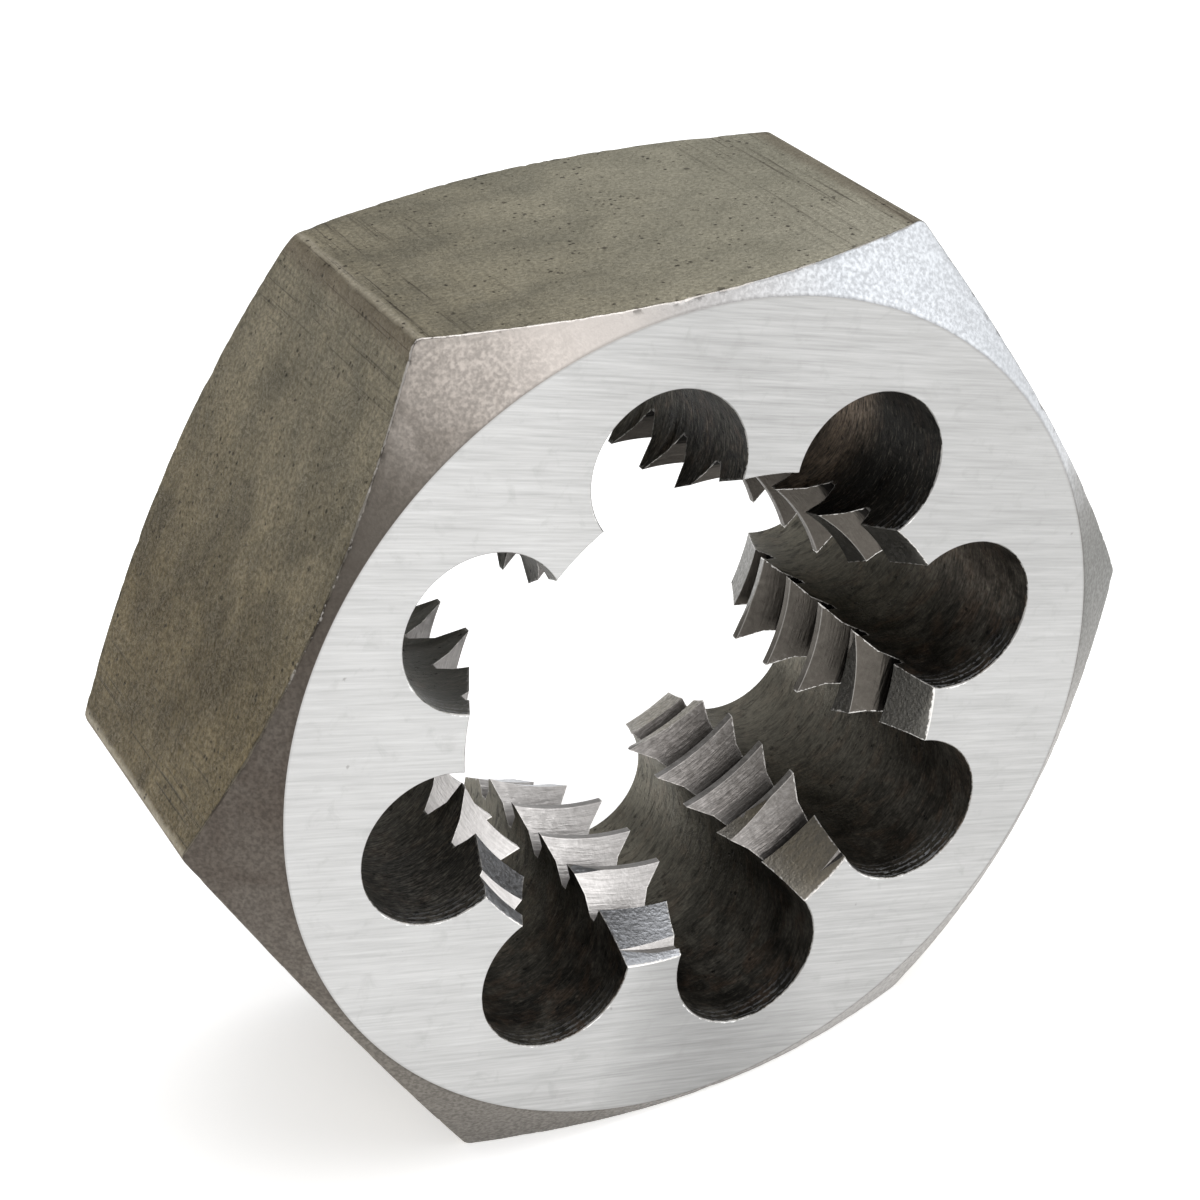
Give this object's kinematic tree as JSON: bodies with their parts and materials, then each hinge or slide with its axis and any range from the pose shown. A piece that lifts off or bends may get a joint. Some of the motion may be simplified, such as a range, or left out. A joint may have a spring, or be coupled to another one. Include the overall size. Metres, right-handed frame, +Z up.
{
  "type": "hex threading die",
  "caption": "Thick hexagonal steel threading die with a right-hand threaded bore cut into lands by a ring of round chip holes, its corners chamfered at both ends.",
  "frame": {"origin": "the middle of the bore, half way through the block", "axes": "Y runs along the bore, with the front face towards -Y; Z is up, square to the flat that the block stands on; X runs through two opposite corners"},
  "size_m": [0.0694, 0.0254, 0.0604],
  "materials": {
    "tool_steel": "ground ends, satin turned chamfers, dull flats"
  },
  "bodies": {
    "root": {"hex_die": "tool_steel"}
  },
  "joints": []
}
